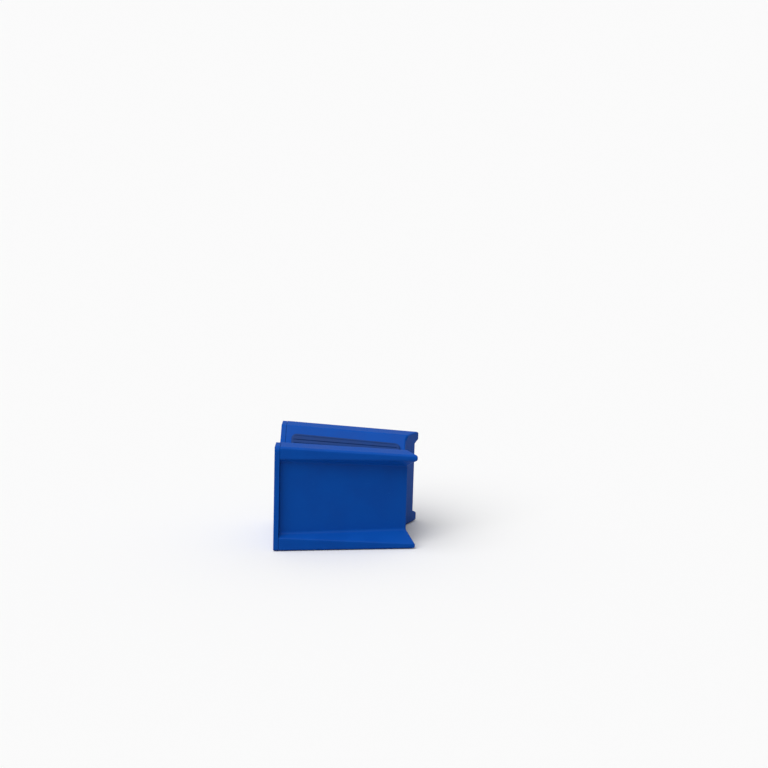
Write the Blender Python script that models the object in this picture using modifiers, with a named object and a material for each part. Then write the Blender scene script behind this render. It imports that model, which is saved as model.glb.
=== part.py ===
"""A bench neck rest: a hollow, tapered block with a cradle along its top and another across its tip end.

The block is drawn about its own axis: u runs from the base end to the tip end, v from front to rear
and w upwards. The empty that carries every piece then tips that axis until the soles lie level.
In the finished frame +X runs from the base end to the tip end, -Y is the front and +Z is up, and the
origin is on the bench under the middle of the block. Lengths are in metres.
"""

import math

import bmesh
import bpy
from mathutils import Matrix, Vector

# The block: a square taper, from the base plate's outer face to the points of the tip end
LENGTH = 0.1295
SIDE_BASE = 0.0984
SIDE_TIP = 0.0876
PLATE_THICKNESS = 0.0046

# Recessed walls: the faces above and below them, and how deep each is at either end
LIP_BASE = 0.0119
LIP_TIP = 0.0048
FOOT_BASE = 0.0124
FOOT_TIP = 0.0042
REAR_EDGE_BASE = 0.0125
REAR_EDGE_TIP = 0.0080
FRONT_DEPTH_BASE = 0.0050
FRONT_DEPTH_TIP = 0.0165
REAR_DEPTH_BASE = 0.0026
REAR_DEPTH_TIP = 0.0057
RECESS_FLANK = math.radians(29.0)
SOLE_WIDTH = 0.0180
ARCH_DEPTH_BASE = 0.0060
ARCH_DEPTH_TIP = 0.0095

# Top cradle: a tapering trough between two level lands, and its soft lining
LAND_WIDTH = 0.0180
CRADLE_DEPTH_BASE = 0.0170
CRADLE_DEPTH_TIP = 0.0155
CRADLE_FLANK = math.radians(45.0)
CRADLE_PAD_THICKNESS = 0.0030
CRADLE_PAD_MARGIN = 0.0055

# End cradle: a channel across the tip end, used when the block stands on its base plate
END_DEPTH = 0.0121
END_FLANK_RUN = 0.0210
END_PAD_WIDTH = 0.0300
END_PAD_HEIGHT = 0.0460
END_PAD_THICKNESS = 0.0026
END_PAD_SEAT = 0.0014
END_PAD_CORNER = 0.0060

# Non-slip strips let into the soles
SOLE_PAD_WIDTH = 0.0080
SOLE_PAD_LENGTH = 0.0860
SOLE_PAD_SEAT = 0.0014
SOLE_PAD_PROUD = 0.0006

# Moulding: walls, stiffening ribs and screw bosses inside the hollow
WALL = 0.0035
RIB_THICKNESS = 0.0024
RIB_SETBACK = 0.0060
BOSS_RADIUS = 0.0048
BOSS_BITE = 0.0012

# Screws that hold the base plate
SCREW_RADIUS = 0.0015
SCREW_LENGTH = 0.0140
SCREW_HEAD_RADIUS = 0.0029
SCREW_HEAD_HEIGHT = 0.0018
SCREW_HEAD_SINK = 0.0004
SCREW_SLOT_LENGTH = 0.0038
SCREW_SLOT_WIDTH = 0.0008
SCREW_SLOT_DEPTH = 0.0010

# Rounding of the moulded edges and of the soft pieces
EDGE_ROUND = 0.0040
SOLE_ROUND = 0.0020
MOUTH_ROUND = 0.0038
END_ROUND = 0.0020
ROOT_ROUND = 0.0022
RIM_ROUND = 0.0008
PAD_ROUND = 0.0008
CORNER_SHARE = 0.62
MOUTH_SHARE = 0.30
ROUND_SHARE = 0.48

# Gap that seated pieces keep, and how far cutters reach past what they cut
FIT_GAP = 0.0003
OVERCUT = 0.0200

# Facets of the curved surfaces
CRADLE_SEGMENTS = 16
ROUND_SEGMENTS = 4
TURN_STEPS = 24
EDGE_ANGLE = math.radians(26.0)
CREASE_ANGLE = math.radians(35.0)

TAPER = math.atan2((SIDE_BASE - SIDE_TIP) / 2, LENGTH)
SEAM = PLATE_THICKNESS + FIT_GAP
CRADLE_REACH = math.pi / 2 - CRADLE_FLANK

FRONT, BOTTOM, REAR = (math.radians(turn) for turn in (90.0, 180.0, 270.0))


def remove_scene_objects():
    """Empty the scene, so that only the block is in it."""
    for old in list(bpy.data.objects):
        bpy.data.objects.remove(old)


def add_collection(name):
    collection = bpy.data.collections.new(name)
    bpy.context.scene.collection.children.link(collection)
    return collection


def add_material(name, colour, roughness, metallic=0.0):
    """A plain surface of one colour, roughness and metallic value."""
    material = bpy.data.materials.new(name)
    material.use_nodes = True
    shader = material.node_tree.nodes["Principled BSDF"]
    shader.inputs["Base Color"].default_value = (*colour, 1.0)
    shader.inputs["Roughness"].default_value = roughness
    shader.inputs["Metallic"].default_value = metallic
    return material


remove_scene_objects()
PARTS = add_collection("neck_rest")
CUTTERS = add_collection("neck_rest_cutters")
AXIS = bpy.data.objects.new("block_axis", None)
PARTS.objects.link(AXIS)

BLUE_MOULDING = add_material("blue_moulding", (0.003, 0.085, 0.42), 0.42)
BLUE_PLATE = add_material("blue_plate", (0.003, 0.085, 0.42), 0.42)
BLUE_LINING = add_material("blue_lining", (0.004, 0.045, 0.21), 0.75)
BLACK_GRIP = add_material("black_grip", (0.012, 0.012, 0.014), 0.85)
ZINC_STEEL = add_material("zinc_steel", (0.55, 0.56, 0.58), 0.35, 1.0)


def add_part(name, bm, material):
    """A finished piece: its own object, carried by the block's axis."""
    piece = add_object(name, bm, PARTS)
    piece.data.materials.append(material)
    return piece


def add_cutter(name, bm):
    """A shape that is only taken away from the pieces."""
    cutter = add_object(name, bm, CUTTERS)
    cutter.hide_render = True
    cutter.display_type = "WIRE"
    return cutter


def add_object(name, bm, collection):
    mesh = bpy.data.meshes.new(name)
    bm.to_mesh(mesh)
    bm.free()
    thing = bpy.data.objects.new(name, mesh)
    collection.objects.link(thing)
    thing.parent = AXIS
    return thing


def boolean(piece, other, operation="DIFFERENCE"):
    modifier = piece.modifiers.new(f"{operation.lower()} {other.name}", "BOOLEAN")
    modifier.operation = operation
    modifier.solver = "EXACT"
    modifier.object = other


def round_edges(piece, width, segments=ROUND_SEGMENTS, by_weight=False):
    modifier = piece.modifiers.new("rounding", "BEVEL")
    modifier.width = width
    modifier.segments = segments
    modifier.limit_method = "WEIGHT" if by_weight else "ANGLE"
    modifier.angle_limit = EDGE_ANGLE


def bake(piece):
    """Replace an object's mesh with what its modifiers make of it."""
    depsgraph = bpy.context.evaluated_depsgraph_get()
    piece.data = bpy.data.meshes.new_from_object(piece.evaluated_get(depsgraph))
    piece.modifiers.clear()


def shade_smooth(piece):
    piece.data.shade_smooth()
    piece.data.set_sharp_from_angle(angle=EDGE_ANGLE)


def along(base, tip, u):
    """A size that changes evenly from the base end to the tip end."""
    return base + (tip - base) * u / LENGTH


def half_side(u):
    return along(SIDE_BASE, SIDE_TIP, u) / 2


def hexahedron(corner):
    """A cube whose eight corners are placed by the signs of their x, y and z."""
    bm = bmesh.new()
    bmesh.ops.create_cube(bm, size=2.0)
    for vertex in bm.verts:
        vertex.co = corner(*(math.copysign(1.0, x) for x in vertex.co))
    return bm


def slab(u_from, u_to):
    """Everything across the block between two stations along its axis."""

    def corner(end, side, height):
        return Vector((u_from if end < 0 else u_to, side * SIDE_BASE, height * SIDE_BASE))

    return hexahedron(corner)


def tapered_block():
    """The square taper itself."""

    def corner(end, side, height):
        u = 0.0 if end < 0 else LENGTH
        return Vector((u, side * half_side(u), height * half_side(u)))

    return hexahedron(corner)


def recess(side, depths, first_edge, last_edge):
    """A wedge that sinks one wall of the block between two raised edges.

    Args:
        side: turn about the axis that faces this wall.
        depths: how deep the recess is at the base end and at the tip end.
        first_edge: how wide the raised edge on its low side is at the base end and at the tip end.
        last_edge: the same for the raised edge on its high side.
    """
    turn = Matrix.Rotation(side, 3, "X")

    def corner(end, across, outward):
        u = -OVERCUT if end < 0 else LENGTH + OVERCUT
        sunk = along(*depths, u) if outward < 0 else -OVERCUT
        edge = along(*(first_edge if across < 0 else last_edge), u)
        half_width = half_side(u) - edge - math.tan(RECESS_FLANK) * sunk
        return turn @ Vector((u, across * half_width, half_side(u) - sunk))

    return hexahedron(corner)


def cradle_arc(u):
    """Radius and centre height of the trough's round bottom, where its flanks touch it."""

    def arc(side, depth):
        half_mouth = side / 2 - LAND_WIDTH
        lean = math.sin(CRADLE_FLANK)
        radius = (half_mouth * math.cos(CRADLE_FLANK) - depth * lean) / (1 - lean)
        return radius, side / 2 - depth + radius

    base = arc(SIDE_BASE, CRADLE_DEPTH_BASE)
    tip = arc(SIDE_TIP, CRADLE_DEPTH_TIP)
    return tuple(along(first, last, u) for first, last in zip(base, tip))


def cradle_point(u, turn, inset=0.0):
    """A point of the round bottom, turned away from its lowest line."""
    radius, centre = cradle_arc(u)
    reach = radius - inset
    return Vector((u, reach * math.sin(turn), centre - reach * math.cos(turn)))


def cradle_trough():
    """A tapering U lying along the top, which leaves the trough between the lands."""
    rise = SIDE_BASE * math.cos(CRADLE_FLANK)
    spread = SIDE_BASE * math.sin(CRADLE_FLANK)
    steps = range(-CRADLE_SEGMENTS // 2, CRADLE_SEGMENTS // 2 + 1)
    bm = bmesh.new()
    for u in (-OVERCUT, LENGTH + OVERCUT):
        ring = [cradle_point(u, CRADLE_REACH * 2 * step / CRADLE_SEGMENTS) for step in steps]
        ring.append(ring[-1] + Vector((0.0, spread, rise)))
        ring.append(ring[0] + Vector((0.0, -spread, rise)))
        bm.faces.new([bm.verts.new(point) for point in ring])
    bmesh.ops.bridge_loops(bm, edges=bm.edges)
    bmesh.ops.recalc_face_normals(bm, faces=bm.faces)
    return bm


def end_channel():
    """The channel across the tip end, with flanks that start at the block's outer edges."""

    def corner(end, side, height):
        sunk = END_DEPTH if end < 0 else -OVERCUT
        half_width = SIDE_TIP / 2 - END_FLANK_RUN * sunk / END_DEPTH
        return Vector((LENGTH - sunk, side * half_width, height * SIDE_BASE))

    return hexahedron(corner)


def edge_width(edge):
    """How wide a sharp edge of the moulding is rounded: by where it runs, limited by the walls beside it."""
    first, last = (vertex.co for vertex in edge.verts)
    direction = (last - first).normalized()
    from_corner = max(abs(half_side(first.x) - abs(place)) for place in (first.y, first.z))
    share = ROUND_SHARE
    if max(first.x, last.x) < PLATE_THICKNESS:
        width = RIM_ROUND
    elif abs(direction.x) < math.cos(EDGE_ANGLE):
        width = END_ROUND
    elif not edge.is_convex:
        width = ROOT_ROUND
    elif from_corner > FIT_GAP:
        width = MOUTH_ROUND
        share = MOUTH_SHARE
    else:
        width = EDGE_ROUND if first.z > 0 else SOLE_ROUND
        share = CORNER_SHARE
    for vertex in edge.verts:
        for other in vertex.link_edges:
            run = other.other_vert(vertex).co - vertex.co
            room = direction.cross(run).length
            if room > run.length * math.sin(EDGE_ANGLE):
                width = min(width, share * room)
    return width


def weigh_edges(piece):
    """Give each sharp edge of the moulding its share of the widest rounding."""
    bm = bmesh.new()
    bm.from_mesh(piece.data)
    weight = bm.edges.layers.float.new("bevel_weight_edge")
    for edge in bm.edges:
        if edge.calc_face_angle() > CREASE_ANGLE:
            edge[weight] = edge_width(edge) / EDGE_ROUND
    bm.to_mesh(piece.data)
    bm.free()


def hollow_bounds(u):
    """Front, rear, bottom and top of the hollow at a station."""
    half = half_side(u)
    return (
        -half + along(FRONT_DEPTH_BASE, FRONT_DEPTH_TIP, u) + WALL,
        half - along(REAR_DEPTH_BASE, REAR_DEPTH_TIP, u) - WALL,
        -half + along(ARCH_DEPTH_BASE, ARCH_DEPTH_TIP, u) + WALL,
        half - along(CRADLE_DEPTH_BASE, CRADLE_DEPTH_TIP, u) - WALL,
    )


def boss_centres():
    """Where the four screws stand: in the corners of the hollow at the seam."""
    front, rear, bottom, top = hollow_bounds(SEAM)
    inset = BOSS_RADIUS - BOSS_BITE
    return [
        (v, w)
        for w in (bottom + inset, top - inset)
        for v in (front + inset, rear - inset)
    ]


def rod(radius, u_from, u_to, centre):
    """A round bar along the axis."""
    bm = bmesh.new()
    bmesh.ops.create_cone(
        bm, cap_ends=True, segments=TURN_STEPS, radius1=radius, radius2=radius, depth=u_to - u_from
    )
    place = Matrix.Translation(((u_from + u_to) / 2, *centre)) @ Matrix.Rotation(math.pi / 2, 4, "Y")
    bmesh.ops.transform(bm, matrix=place, verts=bm.verts)
    return bm


def hollow_cutter():
    """The space inside the walls, less the ribs and bosses that stand in it."""
    floor = LENGTH - END_DEPTH - END_PAD_SEAT - WALL

    def corner(end, side, height):
        u = -OVERCUT if end < 0 else floor
        front, rear, bottom, top = hollow_bounds(u)
        return Vector((u, front if side < 0 else rear, bottom if height < 0 else top))

    cutter = add_cutter("hollow", hexahedron(corner))
    front, rear, bottom, top = hollow_bounds(floor)
    middle = Vector(((front + rear) / 2, (bottom + top) / 2))
    ribs_from = SEAM + RIB_SETBACK

    def rib(half_v, half_w):
        def rib_corner(end, side, height):
            u = ribs_from if end < 0 else floor + OVERCUT
            return Vector((u, middle.x + side * half_v, middle.y + height * half_w))

        return hexahedron(rib_corner)

    boolean(cutter, add_cutter("upright_rib", rib(RIB_THICKNESS / 2, SIDE_BASE)))
    boolean(cutter, add_cutter("level_rib", rib(SIDE_BASE, RIB_THICKNESS / 2)))
    for number, centre in enumerate(boss_centres(), 1):
        boss = rod(BOSS_RADIUS, SEAM, floor + OVERCUT, centre)
        boolean(cutter, add_cutter(f"boss_{number}", boss))
    return cutter


def rounded_rectangle(u_from, u_to, centre, half_v, half_w, corner_radius):
    """A flat slab across the axis with rounded corners."""

    def corner(end, side, height):
        u = u_from if end < 0 else u_to
        return Vector((u, centre[0] + side * half_v, centre[1] + height * half_w))

    bm = hexahedron(corner)
    long_edges = [edge for edge in bm.edges if edge.verts[0].co.x != edge.verts[1].co.x]
    bmesh.ops.bevel(
        bm, geom=long_edges, offset=corner_radius, segments=ROUND_SEGMENTS, profile=0.5, affect="EDGES"
    )
    return bm


def end_pad_slab(grow):
    """The end lining, or its seat when grown by the fitting gap."""
    floor = LENGTH - END_DEPTH
    front, rear, bottom, top = hollow_bounds(floor)
    seat = floor - END_PAD_SEAT - grow
    face = floor - END_PAD_SEAT + END_PAD_THICKNESS + (OVERCUT if grow else 0.0)
    return rounded_rectangle(
        seat,
        face,
        ((front + rear) / 2, (bottom + top) / 2),
        END_PAD_WIDTH / 2 + grow,
        END_PAD_HEIGHT / 2 + grow,
        END_PAD_CORNER + grow,
    )


def sole_pad_slab(side, grow):
    """A strip along one sole, or its slot when grown by the fitting gap."""
    middle = (SEAM + LENGTH - END_DEPTH) / 2
    proud = OVERCUT if grow else SOLE_PAD_PROUD

    def corner(end, across, height):
        u = middle + end * (SOLE_PAD_LENGTH / 2 + grow)
        v = side * (half_side(u) - SOLE_WIDTH / 2) + across * (SOLE_PAD_WIDTH / 2 + grow)
        w = -half_side(u) + (SOLE_PAD_SEAT + grow if height > 0 else -proud)
        return Vector((u, v, w))

    return hexahedron(corner)


def make_body():
    """The moulding: cradle lips, recessed walls, feet and the hollow inside."""
    body = add_part("body_shell", tapered_block(), BLUE_MOULDING)
    lip = (LIP_BASE, LIP_TIP)
    foot = (FOOT_BASE, FOOT_TIP)
    rear_edge = (REAR_EDGE_BASE, REAR_EDGE_TIP)
    sole = (SOLE_WIDTH, SOLE_WIDTH)
    front = recess(FRONT, (FRONT_DEPTH_BASE, FRONT_DEPTH_TIP), foot, lip)
    rear = recess(REAR, (REAR_DEPTH_BASE, REAR_DEPTH_TIP), rear_edge, rear_edge)
    arch = recess(BOTTOM, (ARCH_DEPTH_BASE, ARCH_DEPTH_TIP), sole, sole)
    for name, cutter in (("front_recess", front), ("rear_recess", rear), ("arch", arch)):
        boolean(body, add_cutter(name, cutter))
    boolean(body, add_cutter("trough", cradle_trough()))
    boolean(body, add_cutter("end_channel", end_channel()))
    bake(body)
    weigh_edges(body)
    round_edges(body, EDGE_ROUND, by_weight=True)
    boolean(body, hollow_cutter())
    boolean(body, add_cutter("plate_side", slab(-2 * OVERCUT, SEAM)))
    boolean(body, add_cutter("end_pad_seat", end_pad_slab(FIT_GAP)))
    for name, side in (("front", -1), ("rear", 1)):
        boolean(body, add_cutter(f"{name}_sole_slot", sole_pad_slab(side, FIT_GAP)))
    for number, centre in enumerate(boss_centres(), 1):
        pilot = rod(SCREW_RADIUS + FIT_GAP, -OVERCUT, SCREW_LENGTH + 2 * FIT_GAP, centre)
        boolean(body, add_cutter(f"pilot_{number}", pilot))
    shade_smooth(body)


def make_base_plate():
    """The flat plate that closes the hollow, with its sunk screw holes."""
    plate = add_part("base_plate", tapered_block(), BLUE_PLATE)
    boolean(plate, add_cutter("plate_trough", cradle_trough()))
    bake(plate)
    weigh_edges(plate)
    round_edges(plate, EDGE_ROUND, by_weight=True)
    boolean(plate, add_cutter("plate_slab", slab(0.0, PLATE_THICKNESS)), "INTERSECT")
    for number, centre in enumerate(boss_centres(), 1):
        hole = rod(SCREW_RADIUS + FIT_GAP, -OVERCUT, OVERCUT, centre)
        sink_depth = SCREW_HEAD_SINK + SCREW_HEAD_HEIGHT + FIT_GAP
        sink = rod(SCREW_HEAD_RADIUS + FIT_GAP, -OVERCUT, sink_depth, centre)
        boolean(plate, add_cutter(f"screw_hole_{number}", hole))
        boolean(plate, add_cutter(f"head_sink_{number}", sink))
    shade_smooth(plate)


def make_screw(number, centre):
    """A cross-slotted pan-head screw, turned from its profile and driven along the axis."""
    crown = SCREW_HEAD_HEIGHT / 3
    profile = [
        (0.0, 0.0),
        (SCREW_HEAD_RADIUS - crown, 0.0),
        (SCREW_HEAD_RADIUS, -crown),
        (SCREW_HEAD_RADIUS, -SCREW_HEAD_HEIGHT),
        (SCREW_RADIUS, -SCREW_HEAD_HEIGHT),
        (SCREW_RADIUS, SCREW_HEAD_SINK + SCREW_RADIUS - SCREW_LENGTH),
        (0.0, SCREW_HEAD_SINK - SCREW_LENGTH),
    ]
    bm = bmesh.new()
    vertices = [bm.verts.new((x, 0.0, z)) for x, z in profile]
    for first, last in zip(vertices, vertices[1:]):
        bm.edges.new((first, last))
    screw = add_part(f"base_screw_{number}", bm, ZINC_STEEL)
    place_screw(screw, centre)
    turning = screw.modifiers.new("turning", "SCREW")
    turning.steps = TURN_STEPS
    turning.render_steps = TURN_STEPS
    turning.use_merge_vertices = True
    turning.merge_threshold = 0.00001
    half_length = SCREW_SLOT_LENGTH / 2
    half_width = SCREW_SLOT_WIDTH / 2
    for name, half_x, half_y in (("level", half_width, half_length), ("upright", half_length, half_width)):
        slot = add_cutter(f"{name}_slot_{number}", screw_slot(half_x, half_y))
        place_screw(slot, centre)
        boolean(screw, slot)


def place_screw(thing, centre):
    thing.location = (SCREW_HEAD_SINK, *centre)
    thing.rotation_euler = (0.0, -math.pi / 2, 0.0)


def screw_slot(half_x, half_y):
    """One bar of the cross in a screw's head."""

    def corner(x, y, z):
        return Vector((x * half_x, y * half_y, z * SCREW_SLOT_DEPTH))

    return hexahedron(corner)


def make_cradle_pad():
    """The curved lining of the top cradle."""
    first = SEAM + CRADLE_PAD_MARGIN
    last = LENGTH - END_DEPTH - CRADLE_PAD_MARGIN
    bm = bmesh.new()
    bmesh.ops.create_grid(bm, x_segments=1, y_segments=CRADLE_SEGMENTS, size=1.0)
    for vertex in bm.verts:
        u = first if vertex.co.x < 0 else last
        vertex.co = cradle_point(u, CRADLE_REACH * vertex.co.y, FIT_GAP)
    pad = add_part("top_cradle_pad", bm, BLUE_LINING)
    thickness = pad.modifiers.new("thickness", "SOLIDIFY")
    thickness.thickness = CRADLE_PAD_THICKNESS
    thickness.offset = 1.0
    round_edges(pad, PAD_ROUND, 2)
    shade_smooth(pad)


def make_end_pad():
    """The flat lining of the end cradle."""
    pad = add_part("end_cradle_pad", end_pad_slab(0.0), BLUE_LINING)
    round_edges(pad, PAD_ROUND, 2)
    shade_smooth(pad)


def make_sole_pads():
    """The strips that the block stands on."""
    for name, side in (("front", -1), ("rear", 1)):
        pad = add_part(f"{name}_sole_pad", sole_pad_slab(side, 0.0), BLACK_GRIP)
        round_edges(pad, SOLE_PAD_PROUD / 2, 1)


def stand_on_bench():
    """Tip the axis until the soles are level, and put the origin under the middle of the block."""
    AXIS.rotation_euler = (0.0, TAPER, 0.0)
    bpy.context.view_layer.update()
    depsgraph = bpy.context.evaluated_depsgraph_get()
    corners = []
    for piece in PARTS.objects:
        if piece.type == "MESH":
            solid = piece.evaluated_get(depsgraph)
            corners += [solid.matrix_world @ vertex.co for vertex in solid.data.vertices]
    low = Vector(min(corner[axis] for corner in corners) for axis in range(3))
    high = Vector(max(corner[axis] for corner in corners) for axis in range(3))
    AXIS.location = (-(low.x + high.x) / 2, -(low.y + high.y) / 2, -low.z)


make_body()
make_base_plate()
for screw_number, screw_centre in enumerate(boss_centres(), 1):
    make_screw(screw_number, screw_centre)
make_cradle_pad()
make_end_pad()
make_sole_pads()
stand_on_bench()
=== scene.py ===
"""Dresses the bench neck rest: a satin blue moulding, plated screws and ribbed rubber linings.

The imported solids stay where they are. The rubber pieces are shaped again here, with crowned rims and
grooves, in the seats of their solids. Lengths are in metres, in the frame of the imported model.
"""

import logging
import math
from dataclasses import dataclass
from enum import Enum
from typing import Callable

import bmesh
import bpy
from mathutils import Matrix, Vector

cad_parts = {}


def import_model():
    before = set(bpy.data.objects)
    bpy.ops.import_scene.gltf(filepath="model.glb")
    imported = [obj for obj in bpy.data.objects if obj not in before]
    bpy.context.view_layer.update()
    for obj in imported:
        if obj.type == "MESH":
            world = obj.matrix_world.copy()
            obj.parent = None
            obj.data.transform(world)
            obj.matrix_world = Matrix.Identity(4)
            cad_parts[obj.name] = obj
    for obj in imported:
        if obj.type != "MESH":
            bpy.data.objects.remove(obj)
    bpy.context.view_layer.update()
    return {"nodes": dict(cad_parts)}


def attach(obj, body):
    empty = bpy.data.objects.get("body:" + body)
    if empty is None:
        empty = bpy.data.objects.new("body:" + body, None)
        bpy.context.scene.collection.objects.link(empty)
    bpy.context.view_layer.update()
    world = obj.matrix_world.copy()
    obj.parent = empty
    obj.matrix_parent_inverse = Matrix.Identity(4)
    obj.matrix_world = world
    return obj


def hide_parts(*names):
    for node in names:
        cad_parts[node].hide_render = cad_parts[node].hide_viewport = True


LOG = logging.getLogger("neck_rest")
BODY = "root"
IMAGE_SIDE = 768
SENSOR_WIDTH = 36.0

SHARP_ANGLE = math.radians(50.0)
MIDDLE_SPREAD = 1.5
RIM_SPREAD = 0.5
GROOVE_RUNOUT = 3.0

GRAIN_DETAIL = 2.0
CLOUD_DETAIL = 3.0
CLOUD_MASK = (0.3, 0.7)
PATCH_DETAIL = 2.0
PATCH_MASK = (0.52, 0.72)
HAIR_DETAIL = 8.0
HAIR_STRETCH = (0.35, 6.0, 6.0)
HAIR_MASK = (0.58, 0.66)

Triple = tuple[float, float, float]
Colour = Triple
Place = Callable[[float, float, float], Vector]


@dataclass(frozen=True)
class BlockAxis:
    """The tapering block about its own axis.

    u runs from the base end to the tip end, v to the rear and w upwards.
    """

    length: float = 0.1295
    base_side: float = 0.0984
    tip_side: float = 0.0876
    origin: Triple = (-0.0642579, 0.0, 0.0497568)

    @property
    def tilt(self) -> float:
        """Angle by which the axis is tipped, so that the soles lie level."""
        return math.atan2((self.base_side - self.tip_side) / 2, self.length)

    def along(self, base: float, tip: float, u: float) -> float:
        """Blend a size from the base end to the tip end.

        Args:
            base: the size at the base end.
            tip: the size at the tip end.
            u: station along the axis.

        Returns:
            The size at that station.
        """
        return base + (tip - base) * u / self.length

    def half_side(self, u: float) -> float:
        """Half the block's side at a station."""
        return self.along(self.base_side, self.tip_side, u) / 2

    def world(self, point: Vector) -> Vector:
        """A point of the axis frame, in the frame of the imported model."""
        return Matrix.Rotation(self.tilt, 3, "Y") @ point + Vector(self.origin)


@dataclass(frozen=True)
class Trough:
    """The round bottom of the top cradle, between its straight flanks."""

    axis: BlockAxis
    land: float = 0.0180
    base_depth: float = 0.0170
    tip_depth: float = 0.0155
    flank: float = math.radians(45.0)

    @property
    def reach(self) -> float:
        """Turn from the lowest line to where a flank begins."""
        return math.pi / 2 - self.flank

    def arc(self, side: float, depth: float) -> tuple[float, float]:
        """Find the round bottom that touches both flanks.

        Args:
            side: the block's side there.
            depth: how deep the trough is there.

        Returns:
            The radius, and the height of its centre above the axis.
        """
        lean = math.sin(self.flank)
        mouth = side / 2 - self.land
        radius = (mouth * math.cos(self.flank) - depth * lean) / (1 - lean)
        return radius, side / 2 - depth + radius

    def point(self, u: float, turn: float, inset: float) -> Vector:
        """Find a point above the round bottom.

        Args:
            u: station along the axis.
            turn: angle from the lowest line.
            inset: height above the surface.

        Returns:
            The point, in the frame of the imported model.
        """
        base = self.arc(self.axis.base_side, self.base_depth)
        tip = self.arc(self.axis.tip_side, self.tip_depth)
        radius = self.axis.along(base[0], tip[0], u) - inset
        centre = self.axis.along(base[1], tip[1], u)
        across = Vector((u, radius * math.sin(turn), centre - radius * math.cos(turn)))
        return self.axis.world(across)


class Grooves(Enum):
    """Which way the grooves of a rubber piece run."""

    LENGTHWISE = "lengthwise"
    CROSSWISE = "crosswise"


def smooth_step(low: float, high: float, value: float) -> float:
    """Rise smoothly from 0 to 1.

    Args:
        low: where the rise starts.
        high: where it ends.
        value: where it is read.

    Returns:
        A number from 0 to 1.
    """
    share = min(max((value - low) / (high - low), 0.0), 1.0)
    return share * share * (3.0 - 2.0 * share)


@dataclass
class RubberPiece:
    """A moulded rubber piece with rounded corners, a crowned rim and grooves in its face.

    s runs along the piece, t across it and h up from its seat.
    """

    name: str
    node: str
    slot: str
    half_length: float
    half_width: float
    thickness: float
    corner: float
    crown: float
    groove_pitch: float
    groove_width: float
    groove_depth: float
    grooves: Grooves
    cells: tuple[int, int]
    place: Place

    def plan(self, x: float, y: float) -> Triple:
        """Lay a point of the unit square on the piece's outline.

        Args:
            x: place along the square, from -1 to 1.
            y: place across the square, from -1 to 1.

        Returns:
            Place along the piece, place across it, and the distance from its rim.
        """
        s, t = (self.spread(value) for value in (x, y))
        s *= self.half_length
        t *= self.half_width
        a = (abs(s) - self.half_length + self.corner) / self.corner
        b = (abs(t) - self.half_width + self.corner) / self.corner
        if a <= 0.0 or b <= 0.0:
            return s, t, min(self.half_length - abs(s), self.half_width - abs(t))
        round_a = a * math.sqrt(1.0 - b * b / 2)
        round_b = b * math.sqrt(1.0 - a * a / 2)
        s = math.copysign(self.half_length + self.corner * (round_a - 1.0), s)
        t = math.copysign(self.half_width + self.corner * (round_b - 1.0), t)
        return s, t, self.corner * (1.0 - min(math.hypot(round_a, round_b), 1.0))

    @staticmethod
    def spread(value: float) -> float:
        """Draw the grid's lines together towards the rim, where the crown bends most."""
        return value * (MIDDLE_SPREAD - RIM_SPREAD * value * value)

    def height(self, s: float, t: float, rim: float) -> float:
        """Height of the face above the seat.

        Args:
            s: place along the piece.
            t: place across the piece.
            rim: distance from the rim.

        Returns:
            The height there.
        """
        fall = 1.0 - min(rim / self.crown, 1.0)
        crowned = self.thickness - self.crown * (1.0 - math.sqrt(1.0 - fall * fall))
        run = t if self.grooves is Grooves.LENGTHWISE else s
        from_line = abs((run / self.groove_pitch) % 1.0 - 0.5) * self.groove_pitch
        groove = 1.0 - smooth_step(self.groove_width / 4, self.groove_width / 2, from_line)
        kept = smooth_step(self.crown, GROOVE_RUNOUT * self.crown, rim)
        return crowned - self.groove_depth * groove * kept

    def build(self, finish: bpy.types.Material) -> bpy.types.Object:
        """Shape the piece in its seat, and put it in its solid's place.

        Args:
            finish: the material it is made of.

        Returns:
            The new object.
        """
        bm = bmesh.new()
        bmesh.ops.create_grid(bm, x_segments=self.cells[0], y_segments=self.cells[1], size=1.0)
        raised = bmesh.ops.extrude_face_region(bm, geom=bm.faces[:], use_keep_orig=True)
        face = {item for item in raised["geom"] if isinstance(item, bmesh.types.BMVert)}
        for vertex in bm.verts:
            s, t, rim = self.plan(vertex.co.x, vertex.co.y)
            vertex.co = self.place(s, t, self.height(s, t, rim) if vertex in face else 0.0)
        bmesh.ops.recalc_face_normals(bm, faces=bm.faces[:])
        for polygon in bm.faces:
            polygon.smooth = True
        mesh = bpy.data.meshes.new(self.name)
        bm.to_mesh(mesh)
        bm.free()
        mesh.set_sharp_from_angle(angle=SHARP_ANGLE)
        mesh.materials.append(finish)
        piece = bpy.data.objects.new(self.name, mesh)
        bpy.context.scene.collection.objects.link(piece)
        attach(piece, BODY)
        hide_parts(self.node)
        return piece


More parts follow.
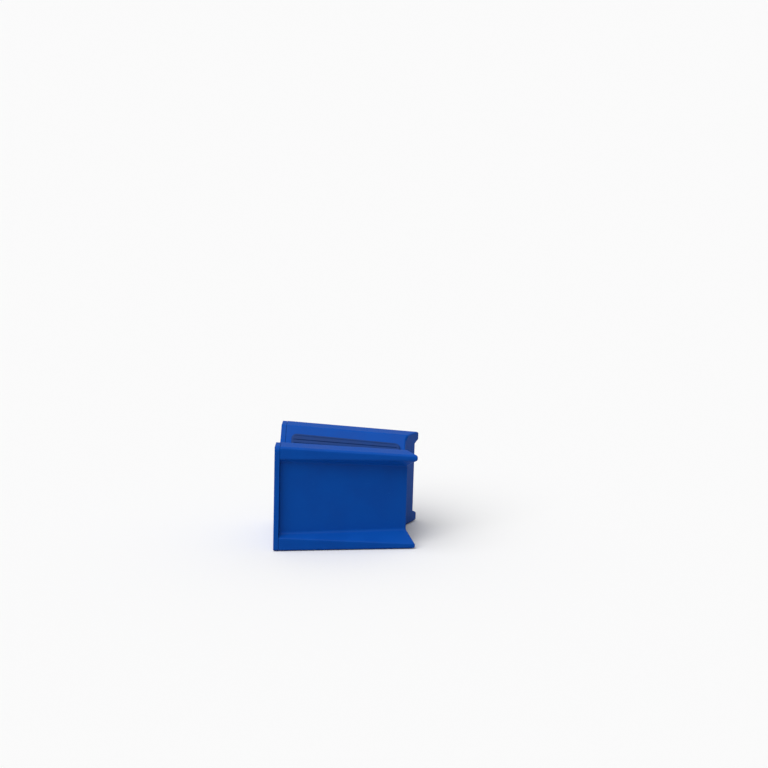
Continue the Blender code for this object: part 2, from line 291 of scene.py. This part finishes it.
@dataclass(frozen=True)
class NodeGroup:
    """A shader node group with named sockets, built once and used in several finishes."""

    tree: bpy.types.ShaderNodeTree

    @classmethod
    def start(cls, name: str, inputs: dict[str, float], outputs: tuple[str, ...]) -> "NodeGroup":
        """Make an empty group.

        Args:
            name: the group's name.
            inputs: the number sockets that it takes, with their first values.
            outputs: the number sockets that it gives.

        Returns:
            The group, with its input and output nodes in place.
        """
        tree = bpy.data.node_groups.new(name, "ShaderNodeTree")
        for label, value in inputs.items():
            socket = tree.interface.new_socket(label, in_out="INPUT", socket_type="NodeSocketFloat")
            socket.default_value = value
        for label in outputs:
            tree.interface.new_socket(label, in_out="OUTPUT", socket_type="NodeSocketFloat")
        tree.nodes.new("NodeGroupInput").name = "in"
        tree.nodes.new("NodeGroupOutput").name = "out"
        return cls(tree)

    def source(self, label: str) -> bpy.types.NodeSocket:
        """One of the values that the group takes."""
        return self.tree.nodes["in"].outputs[label]

    def give(self, label: str, socket: bpy.types.NodeSocket) -> None:
        """Hand a value out of the group."""
        self.tree.links.new(socket, self.tree.nodes["out"].inputs[label])

    def math(
        self,
        operation: str,
        first: bpy.types.NodeSocket,
        second: "bpy.types.NodeSocket | float",
    ) -> bpy.types.NodeSocket:
        """Work out one sum.

        Args:
            operation: the Math node's operation.
            first: its first value.
            second: its second value, a socket or a number.

        Returns:
            The socket with the result.
        """
        node = self.tree.nodes.new("ShaderNodeMath")
        node.operation = operation
        self.tree.links.new(first, node.inputs[0])
        if isinstance(second, bpy.types.NodeSocket):
            self.tree.links.new(second, node.inputs[1])
        else:
            node.inputs[1].default_value = second
        return node.outputs[0]

    def noise(
        self,
        size: bpy.types.NodeSocket,
        detail: float,
        stretch: Triple = (1.0, 1.0, 1.0),
    ) -> bpy.types.NodeSocket:
        """Cloudy noise fixed to the piece.

        Args:
            size: the size of its clouds, in metres.
            detail: how many finer layers it has.
            stretch: how much it is squeezed along each axis.

        Returns:
            The socket with the noise, from 0 to 1.
        """
        nodes, links = self.tree.nodes, self.tree.links
        place = nodes.new("ShaderNodeTexCoord")
        mapping = nodes.new("ShaderNodeMapping")
        mapping.inputs["Scale"].default_value = stretch
        texture = nodes.new("ShaderNodeTexNoise")
        texture.inputs["Detail"].default_value = detail
        links.new(place.outputs["Object"], mapping.inputs["Vector"])
        links.new(mapping.outputs["Vector"], texture.inputs["Vector"])
        reciprocal = nodes.new("ShaderNodeMath")
        reciprocal.operation = "DIVIDE"
        reciprocal.inputs[0].default_value = 1.0
        links.new(size, reciprocal.inputs[1])
        links.new(reciprocal.outputs[0], texture.inputs["Scale"])
        return texture.outputs["Fac"]

    def threshold(
        self, value: bpy.types.NodeSocket, low: float, high: float
    ) -> bpy.types.NodeSocket:
        """Turn a value into a soft mask.

        Args:
            value: what is read.
            low: where the mask is 0.
            high: where it is 1.

        Returns:
            The socket with the mask.
        """
        node = self.tree.nodes.new("ShaderNodeMapRange")
        node.interpolation_type = "SMOOTHSTEP"
        node.inputs["From Min"].default_value = low
        node.inputs["From Max"].default_value = high
        self.tree.links.new(value, node.inputs["Value"])
        return node.outputs["Result"]


def make_grain_group() -> NodeGroup:
    """The fine grain of a moulded surface, and the slow change of tone across it."""
    group = NodeGroup.start("moulded_grain", {"Grain": 0.0004, "Cloud": 0.02}, ("Height", "Tone"))
    group.give("Height", group.noise(group.source("Grain"), GRAIN_DETAIL))
    clouds = group.noise(group.source("Cloud"), CLOUD_DETAIL)
    group.give("Tone", group.threshold(clouds, *CLOUD_MASK))
    return group


def make_scuff_group() -> NodeGroup:
    """Fine rubs and scratches from handling, lying along the block."""
    group = NodeGroup.start("handling_rubs", {"Size": 0.004, "Amount": 1.0}, ("Rubs",))
    patches = group.threshold(group.noise(group.source("Size"), PATCH_DETAIL), *PATCH_MASK)
    hair = group.noise(group.source("Size"), HAIR_DETAIL, HAIR_STRETCH)
    lines = group.threshold(hair, *HAIR_MASK)
    rubs = group.math("MULTIPLY", patches, lines)
    group.give("Rubs", group.math("MULTIPLY", rubs, group.source("Amount")))
    return group


@dataclass(frozen=True)
class Finish:
    """What a piece is made of, and how its surface has been moulded and handled."""

    name: str
    colour: Colour
    tone: Colour
    rubbed: Colour
    roughness: float
    roughness_change: float
    rub_roughness: float
    grain: float
    grain_height: float
    cloud: float
    rub_size: float
    rub_amount: float
    specular: float = 0.5
    metallic: float = 0.0

    def build(self, grain: NodeGroup, scuff: NodeGroup) -> bpy.types.Material:
        """Make the material.

        Args:
            grain: the shared group for the moulded grain.
            scuff: the shared group for the rubs.

        Returns:
            The new material.
        """
        material = bpy.data.materials.new(self.name)
        material.use_nodes = True
        nodes, links = material.node_tree.nodes, material.node_tree.links
        shader = nodes["Principled BSDF"]
        shader.inputs["Metallic"].default_value = self.metallic
        shader.inputs["Specular IOR Level"].default_value = self.specular

        surface = nodes.new("ShaderNodeGroup")
        surface.node_tree = grain.tree
        surface.inputs["Grain"].default_value = self.grain
        surface.inputs["Cloud"].default_value = self.cloud
        rubs = nodes.new("ShaderNodeGroup")
        rubs.node_tree = scuff.tree
        rubs.inputs["Size"].default_value = self.rub_size
        rubs.inputs["Amount"].default_value = self.rub_amount

        tone = self.mix(material, surface.outputs["Tone"], self.colour, self.tone)
        rubbed = self.mix(material, rubs.outputs["Rubs"], tone, self.rubbed)
        links.new(rubbed, shader.inputs["Base Color"])

        rough = nodes.new("ShaderNodeMapRange")
        rough.inputs["To Min"].default_value = self.roughness - self.roughness_change
        rough.inputs["To Max"].default_value = self.roughness + self.roughness_change
        links.new(surface.outputs["Tone"], rough.inputs["Value"])
        worn = nodes.new("ShaderNodeMath")
        worn.operation = "MULTIPLY_ADD"
        worn.inputs[1].default_value = self.rub_roughness
        links.new(rubs.outputs["Rubs"], worn.inputs[0])
        links.new(rough.outputs["Result"], worn.inputs[2])
        links.new(worn.outputs[0], shader.inputs["Roughness"])

        bump = nodes.new("ShaderNodeBump")
        bump.inputs["Distance"].default_value = self.grain_height
        links.new(surface.outputs["Height"], bump.inputs["Height"])
        links.new(bump.outputs["Normal"], shader.inputs["Normal"])
        return material

    @staticmethod
    def mix(
        material: bpy.types.Material,
        share: bpy.types.NodeSocket,
        first: "bpy.types.NodeSocket | Colour",
        second: Colour,
    ) -> bpy.types.NodeSocket:
        """Mix two colours by a mask.

        Args:
            material: the material that the mix is for.
            share: the mask.
            first: the colour where the mask is 0, a socket or a colour.
            second: the colour where the mask is 1.

        Returns:
            The socket with the mixed colour.
        """
        node = material.node_tree.nodes.new("ShaderNodeMix")
        node.data_type = "RGBA"
        links = material.node_tree.links
        links.new(share, node.inputs["Factor"])
        colour_a, colour_b = (socket for socket in node.inputs if socket.type == "RGBA")
        if isinstance(first, bpy.types.NodeSocket):
            links.new(first, colour_a)
        else:
            colour_a.default_value = (*first, 1.0)
        colour_b.default_value = (*second, 1.0)
        return next(socket for socket in node.outputs if socket.type == "RGBA")


BLUE_MOULDING = Finish(
    name="blue_moulding",
    colour=(0.0004, 0.074, 0.415),
    tone=(0.0004, 0.083, 0.450),
    rubbed=(0.006, 0.102, 0.480),
    roughness=0.46,
    roughness_change=0.05,
    rub_roughness=0.12,
    grain=0.00045,
    grain_height=0.00006,
    cloud=0.03,
    rub_size=0.006,
    rub_amount=0.6,
    specular=0.10,
)
BLUE_LINING = Finish(
    name="blue_lining",
    colour=(0.004, 0.040, 0.19),
    tone=(0.005, 0.047, 0.22),
    rubbed=(0.02, 0.07, 0.26),
    roughness=0.72,
    roughness_change=0.05,
    rub_roughness=0.08,
    grain=0.0003,
    grain_height=0.00005,
    cloud=0.012,
    rub_size=0.005,
    rub_amount=0.6,
    specular=0.3,
)
BLACK_GRIP = Finish(
    name="black_grip",
    colour=(0.012, 0.012, 0.014),
    tone=(0.018, 0.018, 0.020),
    rubbed=(0.05, 0.05, 0.05),
    roughness=0.82,
    roughness_change=0.05,
    rub_roughness=0.05,
    grain=0.0003,
    grain_height=0.00005,
    cloud=0.010,
    rub_size=0.004,
    rub_amount=0.8,
    specular=0.3,
)
ZINC_STEEL = Finish(
    name="zinc_steel",
    colour=(0.56, 0.57, 0.59),
    tone=(0.63, 0.64, 0.66),
    rubbed=(0.40, 0.40, 0.41),
    roughness=0.32,
    roughness_change=0.05,
    rub_roughness=0.18,
    grain=0.0002,
    grain_height=0.00001,
    cloud=0.002,
    rub_size=0.002,
    rub_amount=0.8,
    metallic=1.0,
)


@dataclass
class Moulding:
    """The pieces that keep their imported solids: the body, the base plate and its screws."""

    blue_nodes: tuple[str, ...] = ("body_shell", "base_plate")
    screw_nodes: tuple[str, ...] = ("base_screw_1", "base_screw_2", "base_screw_3", "base_screw_4")

    def dress(
        self,
        nodes: dict[str, bpy.types.Object],
        blue: bpy.types.Material,
        steel: bpy.types.Material,
    ) -> None:
        """Give each solid its finish.

        Args:
            nodes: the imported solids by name.
            blue: the moulding's material.
            steel: the screws' material.
        """
        for names, finish in ((self.blue_nodes, blue), (self.screw_nodes, steel)):
            for name in names:
                for slot in nodes[name].material_slots:
                    slot.material = finish
                LOG.info("%s is dressed in %s", name, finish.name)


@dataclass
class Linings:
    """The ribbed rubber pieces: two cradle linings and two sole strips."""

    axis: BlockAxis
    trough: Trough
    fit_gap: float = 0.0003
    seam: float = 0.0049
    end_depth: float = 0.0121
    pad_margin: float = 0.0055
    pad_thickness: float = 0.0030
    pad_half_width: float = 0.0235
    end_width: float = 0.0300
    end_height: float = 0.0460
    end_centre: tuple[float, float] = (0.0050076, -0.0032336)
    end_thickness: float = 0.0026
    end_seat: float = 0.0014
    sole_width: float = 0.0180
    strip_width: float = 0.0080
    strip_length: float = 0.0860
    strip_seat: float = 0.0014
    strip_proud: float = 0.0006

    def top_lining(self) -> RubberPiece:
        """The lining that lies in the trough."""
        first = self.seam + self.pad_margin
        last = self.axis.length - self.end_depth - self.pad_margin
        half_length = (last - first) / 2

        def place(s: float, t: float, h: float) -> Vector:
            turn = self.trough.reach * t / self.pad_half_width
            return self.trough.point((first + last) / 2 + s, turn, self.fit_gap + h)

        return RubberPiece(
            name="top_cradle_lining",
            node="top_cradle_pad",
            slot="lining",
            half_length=half_length,
            half_width=self.pad_half_width,
            thickness=self.pad_thickness,
            corner=0.0050,
            crown=0.0012,
            groove_pitch=0.0047,
            groove_width=0.0013,
            groove_depth=0.0007,
            grooves=Grooves.LENGTHWISE,
            cells=(72, 168),
            place=place,
        )

    def end_lining(self) -> RubberPiece:
        """The lining across the tip end."""
        seat = self.axis.length - self.end_depth - self.end_seat

        def place(s: float, t: float, h: float) -> Vector:
            v, w = self.end_centre
            return self.axis.world(Vector((seat + h, v + t, w + s)))

        return RubberPiece(
            name="end_cradle_lining",
            node="end_cradle_pad",
            slot="lining",
            half_length=self.end_height / 2,
            half_width=self.end_width / 2,
            thickness=self.end_thickness,
            corner=0.0060,
            crown=0.0010,
            groove_pitch=0.0044,
            groove_width=0.0013,
            groove_depth=0.0007,
            grooves=Grooves.LENGTHWISE,
            cells=(72, 160),
            place=place,
        )

    def sole_strip(self, name: str, side: float) -> RubberPiece:
        """Shape the strip under one foot.

        Args:
            name: front or rear.
            side: -1 for the front foot, 1 for the rear one.

        Returns:
            The strip.
        """
        middle = (self.seam + self.axis.length - self.end_depth) / 2

        def place(s: float, t: float, h: float) -> Vector:
            u = middle + s
            v = side * (self.axis.half_side(u) - self.sole_width / 2) + t
            return self.axis.world(Vector((u, v, self.strip_seat - h - self.axis.half_side(u))))

        return RubberPiece(
            name=f"{name}_sole_strip",
            node=f"{name}_sole_pad",
            slot="grip",
            half_length=self.strip_length / 2,
            half_width=self.strip_width / 2,
            thickness=self.strip_seat + self.strip_proud,
            corner=0.0012,
            crown=0.0005,
            groove_pitch=0.0043,
            groove_width=0.0014,
            groove_depth=0.0005,
            grooves=Grooves.CROSSWISE,
            cells=(300, 18),
            place=place,
        )

    def build(self, lining: bpy.types.Material, grip: bpy.types.Material) -> None:
        """Make the four rubber pieces.

        Args:
            lining: the cradle linings' material.
            grip: the sole strips' material.
        """
        work = (
            (self.top_lining(), lining),
            (self.end_lining(), lining),
            (self.sole_strip("front", -1.0), grip),
            (self.sole_strip("rear", 1.0), grip),
        )
        for piece, finish in work:
            made = piece.build(finish)
            LOG.info("%s replaces %s with %d faces", made.name, piece.node, len(made.data.polygons))


@dataclass
class Studio:
    """A pale floor, one large soft lamp overhead and a room that is darker on the camera's side."""

    floor_colour: Colour = (0.95, 0.95, 0.95)
    floor_bounce: Colour = (0.50, 0.50, 0.50)
    floor_roughness: float = 0.9
    floor_half: float = 60.0
    lamp_strength: float = 2.45
    lamp_spread: float = math.radians(68.0)
    lamp_tilt: Triple = (math.radians(24.0), math.radians(-25.0), 0.0)
    room_front: float = 0.06
    room_back: float = 0.34
    room_top: float = 0.25
    room_reach: float = 0.6

    def add_floor(self) -> None:
        """Lay the floor that the block stands on."""
        bm = bmesh.new()
        bmesh.ops.create_grid(bm, x_segments=1, y_segments=1, size=self.floor_half)
        mesh = bpy.data.meshes.new("floor")
        bm.to_mesh(mesh)
        bm.free()
        material = bpy.data.materials.new("pale_floor")
        material.use_nodes = True
        shader = material.node_tree.nodes["Principled BSDF"]
        rays = material.node_tree.nodes.new("ShaderNodeLightPath")
        seen = material.node_tree.nodes.new("ShaderNodeMath")
        seen.operation = "MAXIMUM"
        material.node_tree.links.new(rays.outputs["Is Camera Ray"], seen.inputs[0])
        material.node_tree.links.new(rays.outputs["Is Glossy Ray"], seen.inputs[1])
        tone = Finish.mix(material, seen.outputs[0], self.floor_bounce, self.floor_colour)
        material.node_tree.links.new(tone, shader.inputs["Base Color"])
        shader.inputs["Roughness"].default_value = self.floor_roughness
        shader.inputs["Specular IOR Level"].default_value = 0.0
        mesh.materials.append(material)
        floor = bpy.data.objects.new("floor", mesh)
        bpy.context.scene.collection.objects.link(floor)

    def add_lamp(self) -> None:
        """Hang the soft lamp."""
        lamp = bpy.data.lights.new("overhead_lamp", "SUN")
        lamp.energy = self.lamp_strength
        lamp.angle = self.lamp_spread
        holder = bpy.data.objects.new("overhead_lamp", lamp)
        holder.rotation_euler = self.lamp_tilt
        bpy.context.scene.collection.objects.link(holder)

    def add_room(self) -> None:
        """Light the room: white to the camera, soft from above and behind, dim from the front."""
        world = bpy.data.worlds.new("room")
        bpy.context.scene.world = world
        world.use_nodes = True
        nodes, links = world.node_tree.nodes, world.node_tree.links
        place = nodes.new("ShaderNodeTexCoord")
        split = nodes.new("ShaderNodeSeparateXYZ")
        links.new(place.outputs["Generated"], split.inputs["Vector"])
        depth = nodes.new("ShaderNodeMapRange")
        depth.interpolation_type = "SMOOTHSTEP"
        depth.inputs["From Min"].default_value = -self.room_reach
        depth.inputs["From Max"].default_value = self.room_reach
        depth.inputs["To Min"].default_value = self.room_front
        depth.inputs["To Max"].default_value = self.room_back
        links.new(split.outputs["Y"], depth.inputs["Value"])
        rise = nodes.new("ShaderNodeMath")
        rise.operation = "MULTIPLY_ADD"
        rise.use_clamp = True
        rise.inputs[1].default_value = self.room_top
        links.new(split.outputs["Z"], rise.inputs[0])
        links.new(depth.outputs["Result"], rise.inputs[2])
        rays = nodes.new("ShaderNodeLightPath")
        seen = nodes.new("ShaderNodeMath")
        seen.operation = "MAXIMUM"
        links.new(rays.outputs["Is Camera Ray"], seen.inputs[0])
        links.new(rise.outputs[0], seen.inputs[1])
        links.new(seen.outputs[0], nodes["Background"].inputs["Strength"])
        nodes["Background"].inputs["Color"].default_value = (1.0, 1.0, 1.0, 1.0)

    def build(self) -> None:
        """Set up the floor, the lamp and the room."""
        self.add_floor()
        self.add_lamp()
        self.add_room()
        LOG.info("the studio is lit")


@dataclass
class PhotoCamera:
    """The camera, as it stood for the photograph."""

    place: Triple = (0.07976, -1.6295, 0.5245)
    yaw: float = math.radians(-1.556)
    pitch: float = math.radians(13.123)
    roll: float = math.radians(-0.781)
    focal_pixels: float = 1826.0

    def build(self) -> None:
        """Set the camera up and make it the scene's."""
        forward = Vector(
            (
                math.sin(self.yaw) * math.cos(self.pitch),
                math.cos(self.yaw) * math.cos(self.pitch),
                -math.sin(self.pitch),
            )
        )
        turned = forward.to_track_quat("-Z", "Y").to_matrix()
        rolled = turned @ Matrix.Rotation(self.roll, 3, "Z")
        camera = bpy.data.cameras.new("photo_camera")
        camera.sensor_width = SENSOR_WIDTH
        camera.lens = self.focal_pixels * SENSOR_WIDTH / IMAGE_SIDE
        holder = bpy.data.objects.new("photo_camera", camera)
        holder.matrix_world = Matrix.Translation(self.place) @ rolled.to_4x4()
        bpy.context.scene.collection.objects.link(holder)
        bpy.context.scene.camera = holder
        LOG.info("the camera is set")


def main() -> None:
    """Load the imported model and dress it."""
    logging.basicConfig(level=logging.INFO, format="%(name)s: %(message)s")
    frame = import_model()
    bpy.context.scene.view_settings.view_transform = "Standard"

    grain = make_grain_group()
    scuff = make_scuff_group()
    blue, lining, grip, steel = (
        finish.build(grain, scuff) for finish in (BLUE_MOULDING, BLUE_LINING, BLACK_GRIP, ZINC_STEEL)
    )
    axis = BlockAxis()
    PhotoCamera().build()
    Studio().build()
    Moulding().dress(frame["nodes"], blue, steel)
    Linings(axis, Trough(axis)).build(lining, grip)


if __name__ == "__main__":
    main()
